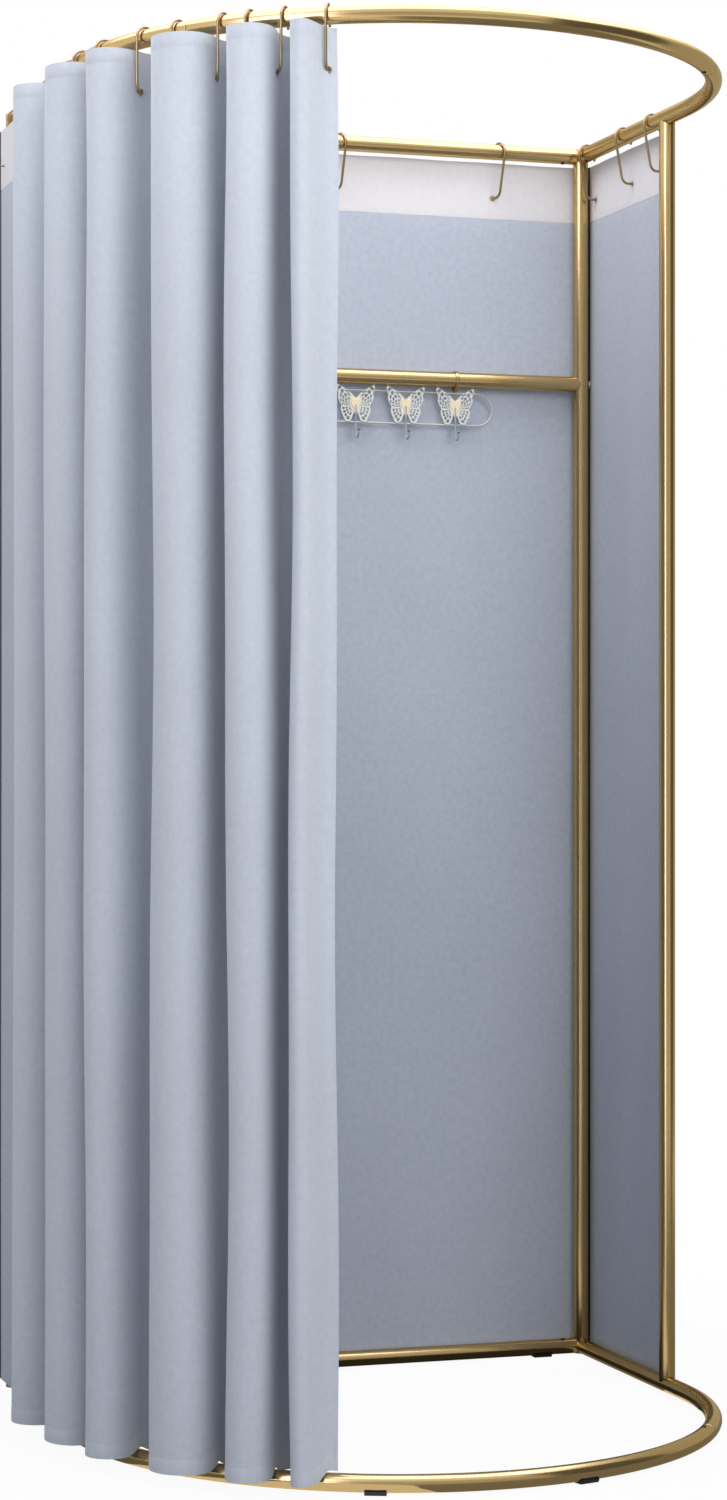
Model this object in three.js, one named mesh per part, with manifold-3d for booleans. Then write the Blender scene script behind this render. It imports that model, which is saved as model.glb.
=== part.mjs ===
// Portable fitting room: a D-shaped cabin of round steel tube, with a curtain on hooks round its curved
// front rail, three flat cloth walls and a butterfly hook rack on a crossbar at the back.
// Millimetres, +Z up. The back rail runs along X at the rear (+Y) and the curved front bulges to -Y.
import * as THREE from "three";
import { mergeVertices } from "three/addons/utils/BufferGeometryUtils.js";
import Module from "manifold-3d";

const wasm = await Module();
wasm.setup();

// Frame
const overallHeight = 2000;
const arcRadius = 480; // centreline of the curved front, and half the width between the side rails
const frontRun = 65; // straight run of each side rail in front of the front uprights
const sideDepth = 350; // front upright to back rail
const tubeRadius = 12.5;
const tubeWall = 1.2;
const tubeSides = 16;
const arcStepDegrees = 5.4;
const seamDegrees = 36.4; // where the curved front plugs onto each side rail, measured from the side
const spigotLength = 38;
const spigotClearance = 0.7; // between the spigot and the bore that it plugs, which is bent
const shoulderThickness = 2; // closed end of a side rail round its spigot
const postCap = 2; // closed top of a corner post
const crossbarDrop = 377.5; // crossbar's middle below the top rails' middle
const seatGap = 0.3; // clearance between pieces that touch
const cutOverrun = 1;

// Crossbar bolts
const boltRadius = 3;
const boltReach = 30; // bolt end inside the crossbar, from the upright's axis
const insertDepth = 20; // threaded insert in each end of the crossbar
const insertMargin = 2.5; // how far the bolt's hole runs past it, into the bore
const boltHeadRadius = 6.5;
const boltRimHeight = 1.6;
const boltDomeHeight = 4.4;
const boltSides = 12;

// Foot pads
const padThickness = 2.5; // rubber under the tube
const padLipDrop = 9; // top of the saddle's lips, below the tube's middle
const padHalf = 11.2; // half width at the lips
const padFlatHalf = 8.5; // half width of the flat sole
const padLength = 30;
const frontPadDegrees = { left: 21.3, right: 14.9 }; // from the front centre
const rearPadInset = 70; // from the corner along the back rail

// Wire hooks
const wireRadius = 2;
const wireSides = 6;
const ringSlack = 2; // room between the ring and the tube, at rest taken up below
const ringDrop = 1.2; // how far the ring's middle hangs below the tube's middle
const ringStepDegrees = 27;
const ringEndDegrees = 225;
const hookBend = 13; // centreline radius of the J
const hookBottom = 74; // from the tube's middle to the J's centreline at its lowest
const hookTip = 27.5; // straight end that passes through the cloth
const flankTip = 14.5; // the same, on a curtain hook that pierces a fold's flank
const bendEndDegrees = 110;
const panelTip = 17; // the same end, on a hook that holds a cloth wall
const panelBendDegrees = 82;
const panelLeanDegrees = 12; // how far the wall's weight has swung its hook about the rail
const bendSteps = 4;
const hookTwistDegrees = 38; // turn of a curtain hook's J out of its ring's plane
const panelSkewDegrees = 15; // how far a cloth wall's hook has swung round on its rail

// Cloth walls
const clothThickness = 2.4;
const wallTopGap = 7.5; // below the rail's underside
const wallFootDrop = 12; // below the top of the base rail
const wallSetback = 19; // behind the rail's centreline, clear of the crossbar's bolt heads
const wallEdgeGap = 3; // from the front uprights
const cornerReach = 14.5; // how far the walls run past the axes of the corner posts
const backHookShares = [0.698, 0.125]; // of the half width, from the middle of the back rail, both sides
// Of the side depth, behind the front uprights; on the left the last one makes room for the curtain's first
const sideHookShares = { left: [0.92, 0.489, 0.26], right: [0.92, 0.489, 0.166] };

// Curtain, gathered at the left: distances run along the rail's centreline from the left end of the curve
const curtainTopGap = 4.5; // below the rail's underside
const curtainBottomGap = 1.5; // above the base tube
const curtainTail = 24; // flat end beside the left cloth wall
const curtainSetout = 22.6; // tail's distance outside the rail's centreline
const tailReach = 40; // where the first bulge starts, behind the front upright's axis
const firstNeck = 27.4; // where it ends, in front of the same axis
const curtainGathered = 537.6; // from there to the neck beside the leading hem
const curtainHem = 44; // full width of the turn whose first half is the leading hem
const curtainHemDepth = 7;
const firstBulge = 74.5;
const outerBulge = 65;
const innerBulge = 45;
const bulgeSwellShare = 0.24; // how far each bulge swells past its own neck, as a share of its height
const bulgeSteps = 11;
const splitSteps = 1; // steps of an outward bulge that belong to the fold before it
const foldGap = 0.6;
const hookStandoff = 12; // from a curtain hook's ring to the cloth that it pierces
// Widths of the bulges after the first, inward and outward by turns, as shares of the gathered length
const bulgeShares = [0.127, 0.144, 0.0816, 0.1032, 0.1201, 0.1407, 0.076, 0.0941, 0.0705, 0.0428];
const foldCount = bulgeShares.length / 2 + 1;

// Butterfly rack
const rackPitch = 86;
const rackCount = 7;
const rackWireRadius = 1.5;
const rackWireSides = 6;
const rackTop = 22; // top wire below the crossbar's axis
const rackHeight = 52; // between the top and bottom wires
const rackOverhang = 65; // from the outer butterflies' middles to the rounded ends
const rackSetback = 2.4; // wires behind the crossbar's axis, so that the rack hangs level
const rackEndSteps = 6;
const strapWidth = 5;
const strapThickness = 1.2;
const strapClearance = 0.6;
const strapSides = 24;
const butterflyHalfWidth = 33;
const butterflyHeight = 60;
const butterflyThickness = 1.4;
const butterflyTopGap = 0.8; // wing tips below the crossbar's underside
const prongRadius = 1.5;
const prongSides = 6;
const prongDrop = 27; // lowest point of a prong below the bottom wire
const prongBend = 8;
const prongTip = 4;
const prongBall = 2.6;

const topZ = overallHeight - tubeRadius;
const baseZ = padThickness + tubeRadius;
const crossbarHeight = topZ - crossbarDrop;
const radians = THREE.MathUtils.degToRad;
const seam = radians(seamDegrees);
const arcLength = Math.PI * arcRadius;

// Finishes: polished brass-gold tube, off-white and blue-grey linen, cream-gold filigree, black rubber
function brass() {
  return new THREE.MeshStandardMaterial({ color: 0xb08d4c, roughness: 0.25, metalness: 1 });
}
function steel() {
  return new THREE.MeshStandardMaterial({ color: 0xb9b6ae, roughness: 0.3, metalness: 1 });
}
function linen() {
  return new THREE.MeshStandardMaterial({ color: 0xb4bccb, roughness: 0.9, metalness: 0 });
}
function filigree() {
  return new THREE.MeshStandardMaterial({ color: 0xe2d7b4, roughness: 0.35, metalness: 0.6 });
}
function rubber() {
  return new THREE.MeshStandardMaterial({ color: 0x1b1b1c, roughness: 0.8, metalness: 0 });
}

// A path through given points: a sweep along it keeps exactly these points. Its two end faces are square
// to the end tangents where these are given, and to the last stretches otherwise.
class PointPath extends THREE.Curve {
  constructor(points, endTangents = []) {
    super();
    this.points = points;
    this.endTangents = endTangents;
  }
  getPointAt(share, target = new THREE.Vector3()) {
    return target.copy(this.points[Math.round(share * (this.points.length - 1))]);
  }
  getPoint(share, target) {
    return this.getPointAt(share, target);
  }
  getTangentAt(share, target = new THREE.Vector3()) {
    const last = this.points.length - 1;
    const here = Math.round(share * last);
    const given = this.endTangents[here === 0 ? 0 : here === last ? 1 : 2];
    if (given) return target.copy(given);
    const arriving = this.points[Math.max(here, 1)].clone().sub(this.points[Math.max(here, 1) - 1]);
    const next = Math.min(here + 1, last);
    const leaving = this.points[next].clone().sub(this.points[next - 1]);
    return target.copy(arriving.normalize()).add(leaving.normalize()).normalize();
  }
}

function roundSection(radius, sides) {
  const corners = [];
  for (let side = 0; side < sides; side += 1) {
    const angle = (2 * Math.PI * side) / sides;
    corners.push(new THREE.Vector2(radius * Math.cos(angle), radius * Math.sin(angle)));
  }
  return new THREE.Shape(corners);
}

function sweep(points, radius, sides, endTangents) {
  const path = new PointPath(points, endTangents);
  const options = { steps: points.length - 1, extrudePath: path, bevelEnabled: false };
  return new THREE.ExtrudeGeometry(roundSection(radius, sides), options);
}

function toSolid(geometry) {
  const bare = geometry.clone();
  bare.deleteAttribute("normal");
  bare.deleteAttribute("uv");
  const merged = mergeVertices(bare);
  return new wasm.Manifold(new wasm.Mesh({
    numProp: 3,
    vertProperties: new Float32Array(merged.attributes.position.array),
    triVerts: new Uint32Array(merged.index.array),
  }));
}

function toGeometry(solid) {
  const mesh = solid.getMesh();
  const geometry = new THREE.BufferGeometry();
  geometry.setAttribute("position", new THREE.BufferAttribute(new Float32Array(mesh.vertProperties), 3));
  geometry.setIndex(new THREE.BufferAttribute(new Uint32Array(mesh.triVerts), 1));
  geometry.computeVertexNormals();
  return geometry;
}

function cut(geometry, cutters) {
  return toGeometry(cutters.reduce((left, cutter) => left.subtract(toSolid(cutter)), toSolid(geometry)));
}

function join(geometries) {
  return toGeometry(geometries.map(toSolid).reduce((sum, next) => sum.add(next)));
}

const fittingRoom = new THREE.Group();

function addPart(name, geometry, material, place = new THREE.Matrix4()) {
  const mesh = new THREE.Mesh(geometry, material);
  mesh.name = name;
  mesh.applyMatrix4(place);
  fittingRoom.add(mesh);
  return mesh;
}

const sidesOfRoom = [["left", -1], ["right", 1]];

// Rail line: from the left side's back, along the side, round the front and back along the right side
function railPoint(distance, setout, z) {
  const reach = arcRadius + setout;
  if (distance < 0) return new THREE.Vector3(-reach, -frontRun - distance, z);
  if (distance > arcLength) return new THREE.Vector3(reach, -frontRun + distance - arcLength, z);
  const turn = Math.PI + distance / arcRadius;
  return new THREE.Vector3(reach * Math.cos(turn), -frontRun + reach * Math.sin(turn), z);
}

function arcPoints(startAngle, endAngle, z) {
  const steps = Math.ceil(Math.abs(endAngle - startAngle) / radians(arcStepDegrees));
  const points = [];
  for (let step = 0; step <= steps; step += 1) {
    const swing = startAngle + ((endAngle - startAngle) * step) / steps;
    points.push(railPoint(swing * arcRadius, 0, z));
  }
  return points;
}

function railTangent(swing) {
  return new THREE.Vector3(Math.sin(swing), -Math.cos(swing), 0);
}

function bentTube(startAngle, endAngle, z, radius) {
  const way = Math.sign(endAngle - startAngle);
  const tangents = [startAngle, endAngle].map((swing) => railTangent(swing).multiplyScalar(way));
  return sweep(arcPoints(startAngle, endAngle, z), radius, tubeSides, tangents);
}

// Tubes of the frame, coped where they meet
function straightTube(from, to, radius = tubeRadius) {
  return sweep([from, to], radius, tubeSides);
}

function uprightLine(x, y, radius, bottom = padThickness, top = overallHeight) {
  return straightTube(new THREE.Vector3(x, y, bottom), new THREE.Vector3(x, y, top), radius);
}

function backLine(z, radius) {
  return straightTube(new THREE.Vector3(-arcRadius, sideDepth, z), new THREE.Vector3(arcRadius, sideDepth, z), radius);
}

const copeRadius = tubeRadius + seatGap;
const cornerCutters = sidesOfRoom.map(([, side]) =>
  uprightLine(side * arcRadius, sideDepth, copeRadius, -cutOverrun, overallHeight + cutOverrun));
const boreRadius = tubeRadius - tubeWall;
const spigotRadius = boreRadius - spigotClearance;
const leftSeam = seam;
const rightSeam = Math.PI - seam;

// A straight plug on the chord from the seam into the curved front, longer at each end by the given lengths
function plug(side, z, radius, before, beyond) {
  const seamAngle = side < 0 ? leftSeam : rightSeam;
  const mouth = railPoint(seamAngle * arcRadius, 0, z);
  const end = railPoint(seamAngle * arcRadius - side * spigotLength, 0, z);
  const along = end.clone().sub(mouth).normalize();
  return sweep([mouth.addScaledVector(along, -before), end.addScaledVector(along, beyond)], radius, tubeSides);
}

// A side rail: straight, then bent to the seam, with a shoulder there and a reduced spigot beyond it
function sideRail(side, z) {
  const line = (swing, radius) => {
    const from = side < 0 ? 0 : Math.PI;
    const to = side < 0 ? swing : Math.PI - swing;
    const ends = [new THREE.Vector3(0, -1, 0), railTangent(to).multiplyScalar(-side)];
    const back = new THREE.Vector3(side * arcRadius, sideDepth, z);
    return sweep([back, ...arcPoints(from, to, z)], radius, tubeSides, ends);
  };
  const outside = join([line(seam, tubeRadius), plug(side, z, spigotRadius, shoulderThickness / 2, 0)]);
  return cut(outside, [...cornerCutters, backLine(z, copeRadius), line(seam - shoulderThickness / arcRadius, boreRadius),
    plug(side, z, spigotRadius - tubeWall, shoulderThickness + cutOverrun, cutOverrun)]);
}

function frontArc(z) {
  const seamGap = seatGap / arcRadius;
  const tube = bentTube(leftSeam + seamGap, rightSeam - seamGap, z, tubeRadius);
  return cut(tube, [bentTube(leftSeam, rightSeam, z, boreRadius)]);
}

for (const [level, z] of [["top", topZ], ["base", baseZ]]) {
  addPart(`${level}_front_arc`, frontArc(z), brass());
  addPart(`${level}_back_rail`, cut(backLine(z, tubeRadius), [...cornerCutters, backLine(z, boreRadius)]), brass());
  for (const [name, side] of sidesOfRoom) addPart(`${level}_${name}_rail`, sideRail(side, z), brass());
}

// Uprights: the front pair is coped onto the rails, the back pair runs past them as corner posts
function boltAxis(side, radius, from, to) {
  const points = [from, to].map((x) => new THREE.Vector3(side * x, sideDepth, crossbarHeight));
  return sweep(points, radius, boltSides);
}

for (const [name, side] of sidesOfRoom) {
  const railCutters = [baseZ, topZ].map((z) => straightTube(
    new THREE.Vector3(side * arcRadius, -frontRun, z), new THREE.Vector3(side * arcRadius, frontRun, z), copeRadius));
  const frontTube = uprightLine(side * arcRadius, 0, tubeRadius, baseZ, topZ);
  const frontBore = uprightLine(side * arcRadius, 0, boreRadius, 0, overallHeight);
  addPart(`front_${name}_upright`, cut(frontTube, [...railCutters, frontBore]), brass());
  const backBore = uprightLine(side * arcRadius, sideDepth, boreRadius, 0, overallHeight - postCap);
  const hole = boltAxis(side, boltRadius + seatGap, arcRadius - boltReach, arcRadius + boltReach);
  addPart(`back_${name}_upright`, cut(uprightLine(side * arcRadius, sideDepth, tubeRadius), [backBore, hole]), brass());
}

// Crossbar, with a threaded insert in each end, and the domed bolts that hold it
const insertEnd = arcRadius - tubeRadius - insertDepth;
const boltHoles = sidesOfRoom.map(([, side]) =>
  boltAxis(side, boltRadius + seatGap, insertEnd - insertMargin, arcRadius + boltReach));
const crossbarBore = straightTube(new THREE.Vector3(-insertEnd, sideDepth, crossbarHeight),
  new THREE.Vector3(insertEnd, sideDepth, crossbarHeight), boreRadius);
addPart("crossbar", cut(backLine(crossbarHeight, tubeRadius), [...cornerCutters, crossbarBore, ...boltHoles]), brass());

function boltGeometry() {
  const headFrom = boltReach + tubeRadius + seatGap;
  const profile = [[0, 0], [boltRadius, 0], [boltRadius, headFrom], [boltHeadRadius, headFrom]];
  for (let step = 0; step <= 3; step += 1) {
    const swing = (Math.PI / 2) * (step / 3);
    const height = headFrom + boltRimHeight + (boltDomeHeight - boltRimHeight) * Math.sin(swing);
    profile.push([step === 3 ? 0 : boltHeadRadius * Math.cos(swing), height]);
  }
  const dome = new THREE.LatheGeometry(profile.map(([r, h]) => new THREE.Vector2(r, h)), boltSides);
  return dome.rotateZ(-Math.PI / 2);
}

for (const [name, side] of sidesOfRoom) {
  const bolt = boltGeometry();
  if (side < 0) bolt.rotateZ(Math.PI);
  bolt.translate(side * (arcRadius - boltReach), sideDepth, crossbarHeight);
  addPart(`crossbar_bolt_${name}`, bolt, steel());
}

// Foot pads: rubber saddles under the base tube, flat below
function padBlock() {
  const ground = -tubeRadius - padThickness;
  const outline = [[-padFlatHalf, ground], [padFlatHalf, ground], [padHalf, -padLipDrop], [-padHalf, -padLipDrop]];
  const shape = new THREE.Shape(outline.map(([x, y]) => new THREE.Vector2(x, y)));
  const block = new THREE.ExtrudeGeometry(shape, { depth: padLength, bevelEnabled: false });
  return block.translate(0, 0, -padLength / 2).rotateX(Math.PI / 2);
}

const padSpots = sidesOfRoom.flatMap(([name, side]) => [
  [`foot_pad_front_${name}`, railPoint(arcLength / 2 + side * radians(frontPadDegrees[name]) * arcRadius, 0, baseZ),
    Math.PI / 2 + side * radians(frontPadDegrees[name])],
  [`foot_pad_back_${name}`, new THREE.Vector3(side * (arcRadius - rearPadInset), sideDepth, baseZ), Math.PI / 2],
]);
const padCutter = bentTube(leftSeam, rightSeam, baseZ, copeRadius);
for (const [name, spot, turn] of padSpots) {
  const block = padBlock().rotateZ(turn).translate(spot.x, spot.y, spot.z);
  addPart(name, cut(block, [name.includes("front") ? padCutter : backLine(baseZ, copeRadius)]), rubber());
}

// Wire hooks: an open ring round the tube, a straight shank and a J whose end passes through the cloth.
// In the hook's own frame the tube's axis runs along Y through the origin and the shank is at +X.
const ringRadius = tubeRadius + ringSlack + wireRadius;

function hookShank() {
  return new THREE.Vector3(ringRadius, 0, -ringDrop);
}

function hookBendPoints(twist, tipLength, endDegrees) {
  const points = [];
  const out = new THREE.Vector3(-Math.cos(twist), Math.sin(twist), 0);
  const middle = hookShank().addScaledVector(out, hookBend).setZ(-hookBottom + hookBend);
  for (let step = 0; step <= bendSteps; step += 1) {
    const swing = (radians(endDegrees) * step) / bendSteps;
    points.push(middle.clone().addScaledVector(out, -hookBend * Math.cos(swing))
      .setZ(middle.z - hookBend * Math.sin(swing)));
  }
  const rise = Math.PI - radians(endDegrees);
  const tip = points[bendSteps].clone().addScaledVector(out, tipLength * Math.sin(rise));
  points.push(tip.setZ(tip.z + tipLength * Math.cos(rise)));
  return points;
}

function hookPoints(twist, tipLength, endDegrees) {
  const points = [];
  const steps = Math.round(ringEndDegrees / ringStepDegrees);
  for (let step = steps; step >= 0; step -= 1) {
    const swing = (radians(ringEndDegrees) * step) / steps;
    points.push(new THREE.Vector3(ringRadius * Math.cos(swing), 0, ringRadius * Math.sin(swing) - ringDrop));
  }
  return [...points, ...hookBendPoints(twist, tipLength, endDegrees)];
}

const eyelets = []; // the J of each hook with its clearance, for the holes in the cloth

const plainHook = { twist: 0, tip: hookTip, bend: bendEndDegrees, lean: 0 };
const panelHook = { twist: 0, tip: panelTip, bend: panelBendDegrees, lean: radians(panelLeanDegrees) };

function addHook(name, cloth, spot, shankDirection, { twist, tip, bend, lean }) {
  const turn = new THREE.Matrix4().makeRotationZ(Math.atan2(shankDirection.y, shankDirection.x));
  const place = turn.multiply(new THREE.Matrix4().makeRotationY(lean)).setPosition(spot.x, spot.y, spot.z);
  addPart(name, sweep(hookPoints(twist, tip, bend), wireRadius, wireSides), brass(), place);
  const hole = sweep(hookBendPoints(twist, tip, bend), wireRadius + seatGap, wireSides);
  eyelets.push([cloth, hole.applyMatrix4(place)]);
}

function eyeletsOf(cloth) {
  return eyelets.filter(([owner]) => owner === cloth).map(([, hole]) => hole);
}

// Cloth walls: one behind the back rail and one outside each side rail, each on its row of hooks
const skew = radians(panelSkewDegrees);
for (const [name, side] of sidesOfRoom) {
  backHookShares.forEach((share, index) => {
    const spot = new THREE.Vector3(side * share * arcRadius, sideDepth, topZ);
    const shank = new THREE.Vector3(Math.sin(skew), -Math.cos(skew), 0);
    addHook(`back_hook_${name}_${index + 1}`, "back_cloth_wall", spot, shank, panelHook);
  });
  sideHookShares[name].forEach((share, index) => {
    const spot = new THREE.Vector3(side * arcRadius, share * sideDepth, topZ);
    const shank = new THREE.Vector3(-side * Math.cos(skew), -Math.sin(skew), 0);
    addHook(`side_hook_${name}_${index + 1}`, `${name}_cloth_wall`, spot, shank, panelHook);
  });
}

const wallTop = topZ - tubeRadius - wallTopGap;
const wallBottom = baseZ + tubeRadius - wallFootDrop;
const edgeReach = tubeRadius + wallEdgeGap;

function wallPanel(length) {
  return new THREE.BoxGeometry(length, clothThickness, wallTop - wallBottom);
}

const wallMiddle = (wallTop + wallBottom) / 2;
const backWall = wallPanel(2 * (arcRadius + cornerReach)).translate(0, sideDepth + wallSetback, wallMiddle);
addPart("back_cloth_wall", cut(backWall, eyeletsOf("back_cloth_wall")), linen());

// Curtain hooks: where each one's ring sits, and which fold of the curtain it carries
const curtainStart = -frontRun - tailReach;
const bulgeEnds = [curtainStart, firstNeck - frontRun];
for (const share of bulgeShares) bulgeEnds.push(bulgeEnds[bulgeEnds.length - 1] + share * curtainGathered);

const tailHookSpot = curtainStart - curtainTail / 2;
addHook("curtain_hook_1", "curtain_fold_1", railPoint(tailHookSpot, 0, topZ), new THREE.Vector3(1, 0, 0), plainHook);
// [fold, the bulge end that the hook pierces, side of the rail that its shank hangs on]
const flankHooks = [[1, 1, 1], [1, 2, -1], [2, 3, 1], [3, 5, 1], [3, 6, -1], [4, 7, 1], [4, 8, -1], [5, 9, 1]];

function outward(distance) {
  return railPoint(distance, 1, 0).sub(railPoint(distance, 0, 0));
}

flankHooks.forEach(([fold, end, side], index) => {
  const distance = bulgeEnds[end] + hookStandoff;
  const twist = -side * radians(hookTwistDegrees);
  const shank = outward(distance).multiplyScalar(side);
  const flankHook = { ...plainHook, twist, tip: flankTip };
  addHook(`curtain_hook_${index + 2}`, `curtain_fold_${fold}`, railPoint(distance, 0, topZ), shank, flankHook);
});
const leadHookSpot = bulgeEnds[bulgeEnds.length - 1] + curtainHem / 4;
addHook(`curtain_hook_${flankHooks.length + 2}`, `curtain_fold_${foldCount}`, railPoint(leadHookSpot, 0, topZ),
  outward(leadHookSpot), plainHook);

for (const [name, side] of sidesOfRoom) {
  const wall = wallPanel(sideDepth + cornerReach - edgeReach).rotateZ(Math.PI / 2);
  wall.translate(side * (arcRadius + wallSetback), (sideDepth + cornerReach + edgeReach) / 2, wallMiddle);
  const holes = eyeletsOf(`${name}_cloth_wall`);
  if (side < 0) holes.push(...eyeletsOf("curtain_fold_1"));
  addPart(`${name}_cloth_wall`, cut(wall, holes), linen());
}

// Curtain folds: each is one outward bulge and the inward one after it, and hangs straight
function bulgeLine(from, to, height, endShare = 1, startHeight = 0) {
  const points = [];
  const steps = Math.round(bulgeSteps * endShare);
  for (let step = 0; step <= steps; step += 1) {
    const swing = (Math.PI * endShare * step) / steps;
    const along = (from + to) / 2 - ((to - from) / 2 + bulgeSwellShare * Math.abs(height) * Math.sin(swing)) * Math.cos(swing);
    const rising = swing < Math.PI / 2 ? startHeight + (height - startHeight) * Math.sin(swing) : height * Math.sin(swing);
    points.push(new THREE.Vector2(along, rising));
  }
  return points;
}

// The inward bulge after the given one, and the first steps of the next outward one
function afterBulge(end) {
  const inward = bulgeLine(bulgeEnds[end], bulgeEnds[end + 1], -innerBulge).slice(1);
  return [...inward, ...bulgeLine(bulgeEnds[end + 1], bulgeEnds[end + 2], outerBulge).slice(1, splitSteps + 1)];
}

function foldLine(fold) {
  const first = 2 * (fold - 1);
  if (fold === 1) {
    const tail = new THREE.Vector2(curtainStart - curtainTail, curtainSetout);
    return [tail, ...bulgeLine(bulgeEnds[0], bulgeEnds[1], firstBulge, 1, curtainSetout), ...afterBulge(1)];
  }
  const bulge = bulgeLine(bulgeEnds[first], bulgeEnds[first + 1], outerBulge).slice(splitSteps);
  if (fold === foldCount) {
    const hemEnd = bulgeEnds[first + 1] + curtainHem;
    return [...bulge, ...bulgeLine(bulgeEnds[first + 1], hemEnd, -curtainHemDepth, 1 / 2).slice(1)];
  }
  return [...bulge, ...afterBulge(first + 1)];
}

const curtainTop = topZ - tubeRadius - curtainTopGap;
const curtainBottom = baseZ + tubeRadius + curtainBottomGap;

function clothAlong(line) {
  const middle = line.map((point) => railPoint(point.x, point.y, 0));
  const path = new PointPath(middle);
  const last = middle.length - 1;
  const edge = (side) => middle.map((point, index) => {
    const along = path.getTangentAt(index / last);
    const trim = index === 0 ? foldGap / 2 : index === last ? -foldGap / 2 : 0;
    return new THREE.Vector2(point.x + trim * along.x - (side * clothThickness * along.y) / 2,
      point.y + trim * along.y + (side * clothThickness * along.x) / 2);
  });
  const shape = new THREE.Shape([...edge(-1), ...edge(1).reverse()]);
  const options = { depth: curtainTop - curtainBottom, bevelEnabled: false };
  return new THREE.ExtrudeGeometry(shape, options).translate(0, 0, curtainBottom);
}

for (let fold = 1; fold <= foldCount; fold += 1) {
  const name = `curtain_fold_${fold}`;
  addPart(name, cut(clothAlong(foldLine(fold)), eyeletsOf(name)), linen());
}

// Butterfly rack: a stadium of wire on two straps over the crossbar, seven pierced butterflies with prongs
const rackHalf = ((rackCount - 1) * rackPitch) / 2 + rackOverhang;
const rackMiddle = crossbarHeight - rackTop - rackHeight / 2;

function rackLoop() {
  const radius = rackHeight / 2;
  const points = [];
  for (const side of [1, -1]) {
    for (let step = 0; step <= rackEndSteps; step += 1) {
      const swing = Math.PI / 2 - (Math.PI * step) / rackEndSteps;
      points.push(new THREE.Vector3(side * (rackHalf - radius + radius * Math.cos(swing)),
        sideDepth + rackSetback, rackMiddle + side * radius * Math.sin(swing)));
    }
  }
  return points;
}

// A closed loop of wire: like PointPath, but the last point runs on into the first
class LoopPath extends THREE.Curve {
  constructor(points) {
    super();
    this.points = points;
  }
  getPointAt(share, target = new THREE.Vector3()) {
    return target.copy(this.points[Math.round(share * this.points.length) % this.points.length]);
  }
  getPoint(share, target) {
    return this.getPointAt(share, target);
  }
  getTangentAt(share, target = new THREE.Vector3()) {
    const count = this.points.length;
    const here = Math.round(share * count) % count;
    const arriving = this.points[here].clone().sub(this.points[(here + count - 1) % count]).normalize();
    const leaving = this.points[(here + 1) % count].clone().sub(this.points[here]).normalize();
    return target.copy(arriving).add(leaving).normalize();
  }
}

// A strap is a flat band bent over the crossbar, whose two legs run off it to a spot weld on the top wire
function strap(x) {
  const inner = tubeRadius + strapClearance;
  const outer = inner + strapThickness;
  const legFoot = rackTop + rackWireRadius;
  const leaves = Math.PI / 2 - Math.acos(outer / legFoot);
  const outline = new THREE.Shape();
  outline.absarc(0, 0, outer, -leaves, Math.PI + leaves, false);
  outline.lineTo(rackSetback - rackWireRadius, -legFoot).lineTo(rackSetback + rackWireRadius, -legFoot).closePath();
  const hollow = new THREE.Path();
  hollow.absarc(0, 0, inner, 0, 2 * Math.PI, true);
  outline.holes.push(hollow);
  const options = { depth: strapWidth, bevelEnabled: false, curveSegments: strapSides / 2 };
  const band = new THREE.ExtrudeGeometry(outline, options).translate(0, 0, -strapWidth / 2);
  return band.rotateX(Math.PI / 2).rotateZ(Math.PI / 2).translate(x, sideDepth, crossbarHeight);
}

const rackWire = new THREE.TubeGeometry(new LoopPath(rackLoop()), 2 * (rackEndSteps + 1), rackWireRadius,
  rackWireSides, true);
const strapSpots = sidesOfRoom.map(([, side]) => side * rackPitch * Math.floor(rackCount / 2));
addPart("rack_frame", join([rackWire, ...strapSpots.map(strap)]), filigree());

// A butterfly is a pierced plate in front of the wires, with a round prong for a hanger or a bag's strap.
// Outline and piercings of its right wings, as shares of its half width and height
const wingShares = [[0, 0.5], [0.12, 0.5], [0.36, 0.68], [0.62, 0.88], [0.88, 1], [1, 0.95], [0.98, 0.8],
  [0.88, 0.7], [0.92, 0.56], [0.8, 0.46], [0.62, 0.41], [0.74, 0.3], [0.72, 0.16], [0.6, 0.1], [0.5, 0],
  [0.38, 0.03], [0.3, 0.13], [0.12, 0.24], [0, 0.24]];
const piercingShares = [
  [[0.2, 0.52], [0.43, 0.66], [0.42, 0.53]],
  [[0.52, 0.7], [0.72, 0.88], [0.86, 0.92], [0.78, 0.76]],
  [[0.52, 0.6], [0.74, 0.67], [0.8, 0.57], [0.6, 0.48]],
  [[0.24, 0.4], [0.5, 0.42], [0.62, 0.33], [0.36, 0.26]],
  [[0.34, 0.18], [0.58, 0.24], [0.6, 0.16], [0.47, 0.08]],
];
const bodyHalfWidth = 3;
const bodyShares = [0.16, 0.6]; // the body's two ends up the plate
const bodyThickness = 3;
const bodySides = 10;

function butterflyPlate() {
  const place = (side) => ([x, y]) => new THREE.Vector2(side * x * butterflyHalfWidth, y * butterflyHeight);
  const wings = [1, -1].map((side) => {
    const outline = wingShares.map(place(side));
    if (THREE.ShapeUtils.isClockWise(outline)) outline.reverse();
    const shape = new THREE.Shape(outline);
    shape.holes.push(...piercingShares.map((hole) => new THREE.Path(hole.map(place(side)))));
    const options = { depth: butterflyThickness, bevelEnabled: false };
    return new THREE.ExtrudeGeometry(shape, options).rotateX(Math.PI / 2);
  });
  const bodyHalf = ((bodyShares[1] - bodyShares[0]) / 2) * butterflyHeight;
  const body = new THREE.SphereGeometry(1, bodySides, bodySides / 2).rotateX(Math.PI / 2);
  body.scale(bodyHalfWidth, bodyThickness / 2, bodyHalf);
  body.translate(0, -bodyThickness / 2, bodyShares[0] * butterflyHeight + bodyHalf);
  return join([...wings, body]);
}

const plateBottom = -tubeRadius - butterflyTopGap - butterflyHeight; // below the crossbar's axis

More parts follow.
